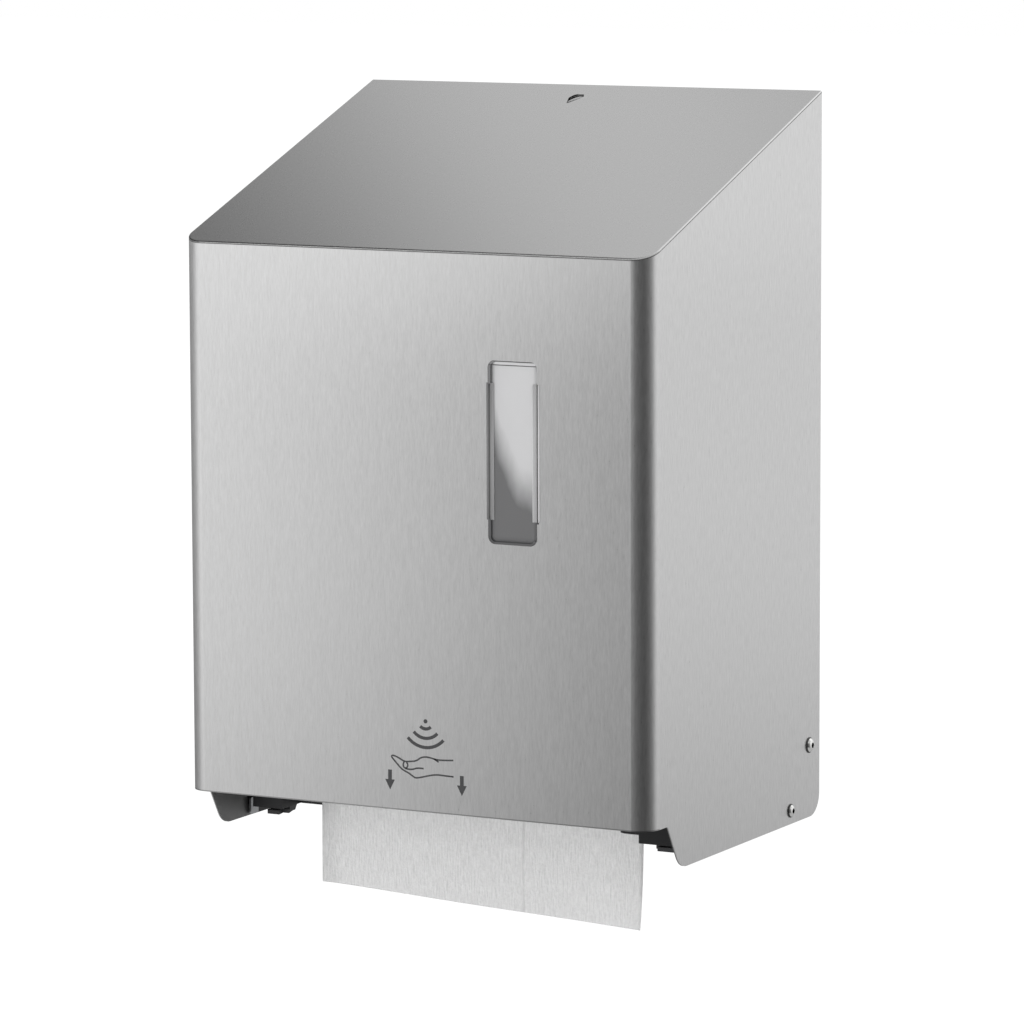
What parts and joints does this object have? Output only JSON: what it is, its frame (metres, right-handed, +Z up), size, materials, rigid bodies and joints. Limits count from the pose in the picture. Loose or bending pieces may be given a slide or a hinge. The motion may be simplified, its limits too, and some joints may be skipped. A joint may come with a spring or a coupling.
{
  "type": "automatic roll towel dispenser",
  "caption": "Wall dispenser with a folded stainless cover that swings down over a paper towel roll, a motor-driven feed and a touch-free sensor.",
  "frame": {"origin": "middle of the four wall-screw holes, on the wall face of the back plate", "axes": "+X to the right seen from the front, +Y into the wall, +Z up"},
  "size_m": [0.306, 0.2263, 0.475],
  "materials": {
    "stainless": "vertical brushed grain",
    "bright_steel": "polished",
    "zinc_steel": "zinc plated",
    "dark_steel": "satin black paint",
    "spring_steel": "spring wire",
    "clear_window": "clear",
    "rail_plastic": "fine satin",
    "black_plastic": "fine moulded grain",
    "grey_plastic": "fine moulded grain",
    "white_plastic": "satin",
    "sensor_window": "dark red, glossy",
    "rubber_black": "matt",
    "tissue": "soft crepe",
    "core_card": "plain",
    "cell_jacket": "plain printed jacket",
    "brass": "turned",
    "motor_can": "plated",
    "circuit_board": "solder mask"
  },
  "bodies": {
    "chassis": {"back_plate": "zinc_steel", "hinge_bracket_left": "zinc_steel", "hinge_bracket_right": "zinc_steel", "bracket_rivets": "zinc_steel", "latch_bracket": "zinc_steel", "latch_pin": "bright_steel", "latch_spring": "spring_steel", "hub_pin_left": "bright_steel", "roll_arm_left": "zinc_steel", "roll_arm_right": "zinc_steel", "arm_screws": "bright_steel", "paper_web": "tissue", "paper_tail": "tissue", "cheek_left": "black_plastic", "cheek_right": "black_plastic", "cheek_screws": "bright_steel", "chassis_rails": "dark_steel", "base_tray": "black_plastic", "front_guide": "black_plastic", "tear_bar": "bright_steel", "tear_bar_screws": "bright_steel", "feed_bearings": "brass", "idler_pin": "bright_steel", "gearmotor": "motor_can", "sensor_housing": "black_plastic", "sensor_lens": "sensor_window", "fascia": "grey_plastic", "fascia_screws": "bright_steel", "battery_box": "black_plastic", "battery_cells": "cell_jacket", "battery_contacts": "spring_steel", "control_board": "circuit_board", "board_spacers": "white_plastic"},
    "cover": {"cover_wrap": "stainless", "cover_lid": "stainless", "lock_keeper": "zinc_steel", "window_lens": "clear_window", "window_frame": "rail_plastic", "pivot_screws": "bright_steel", "guide_screws": "bright_steel", "pivot_washers": "white_plastic"},
    "latch": {"lock_latch": "zinc_steel"},
    "roll": {"paper_roll": "tissue", "roll_core": "core_card", "roll_hub_left": "grey_plastic"},
    "plunger": {"hub_plunger": "bright_steel"},
    "right_hub": {"roll_hub_right": "grey_plastic"},
    "feed": {"feed_shaft": "bright_steel", "feed_roller": "grey_plastic", "feed_rings": "rubber_black", "feed_gear": "white_plastic"},
    "idler": {"idler_gear": "white_plastic"},
    "motor_drive": {"motor_pinion": "brass", "motor_shaft": "bright_steel"},
    "pinch_arm": {"pinch_carrier": "grey_plastic", "pinch_shaft": "bright_steel"},
    "pinch": {"pinch_roller": "rubber_black"},
    "battery_flap": {"battery_door": "grey_plastic"},
    "button": {"feed_button": "white_plastic"},
    "switch": {"power_switch": "black_plastic"}
  },
  "joints": [
    {"name": "cover_hinge", "type": "hinge", "parent": "chassis", "child": "cover", "pos_m": [0, -0.0405, -0.2184], "axis": [1, 0, 0], "range_deg": [0, 85]},
    {"name": "latch_turn", "type": "hinge", "parent": "chassis", "child": "latch", "pos_m": [0, -0.046, 0.17], "axis": [1, 0, 0], "range_deg": [0, 8], "deforming": ["latch_spring"]},
    {"name": "roll_spin", "type": "hinge", "parent": "chassis", "child": "roll", "pos_m": [0, -0.116, 0.057], "axis": [1, 0, 0], "continuous": true},
    {"name": "plunger_slide", "type": "slide", "parent": "chassis", "child": "plunger", "axis": [1, 0, 0], "range_m": [0, 0.012], "stiffness_N_per_m": 300, "springref_m": -0.004},
    {"name": "right_hub_spin", "type": "hinge", "parent": "plunger", "child": "right_hub", "pos_m": [0, -0.116, 0.057], "axis": [1, 0, 0], "continuous": true},
    {"name": "feed_spin", "type": "hinge", "parent": "chassis", "child": "feed", "pos_m": [0, -0.1344, -0.165], "axis": [1, 0, 0], "continuous": true},
    {"name": "idler_spin", "type": "hinge", "parent": "chassis", "child": "idler", "pos_m": [0, -0.11295, -0.147], "axis": [1, 0, 0], "continuous": true},
    {"name": "motor_spin", "type": "hinge", "parent": "chassis", "child": "motor_drive", "pos_m": [0, -0.09604, -0.14085], "axis": [1, 0, 0], "continuous": true},
    {"name": "pinch_swing", "type": "hinge", "parent": "chassis", "child": "pinch_arm", "pos_m": [0, -0.163, -0.142], "axis": [1, 0, 0], "range_deg": [-3, 0], "stiffness_Nm_per_rad": 0.5, "springref_deg": 2.86},
    {"name": "pinch_spin", "type": "hinge", "parent": "pinch_arm", "child": "pinch", "pos_m": [0, -0.1566, -0.165], "axis": [1, 0, 0], "continuous": true},
    {"name": "battery_flap_hinge", "type": "hinge", "parent": "chassis", "child": "battery_flap", "pos_m": [0, -0.0803, -0.112], "axis": [1, 0, 0], "range_deg": [0, 95]},
    {"name": "button_push", "type": "slide", "parent": "chassis", "child": "button", "axis": [0, 1, 0], "range_m": [0, 0.0015], "stiffness_N_per_m": 300, "springref_m": -0.0005},
    {"name": "switch_slide", "type": "slide", "parent": "chassis", "child": "switch", "axis": [1, 0, 0], "range_m": [0, 0.004]}
  ],
  "couplings": [
    {"joint": "feed_spin", "follows": "roll_spin", "ratio": 6.9231},
    {"joint": "idler_spin", "follows": "roll_spin", "ratio": -9.2308},
    {"joint": "motor_spin", "follows": "roll_spin", "ratio": 18.462},
    {"joint": "pinch_spin", "follows": "roll_spin", "ratio": -11.25},
    {"joint": "right_hub_spin", "follows": "roll_spin", "ratio": 1}
  ]
}
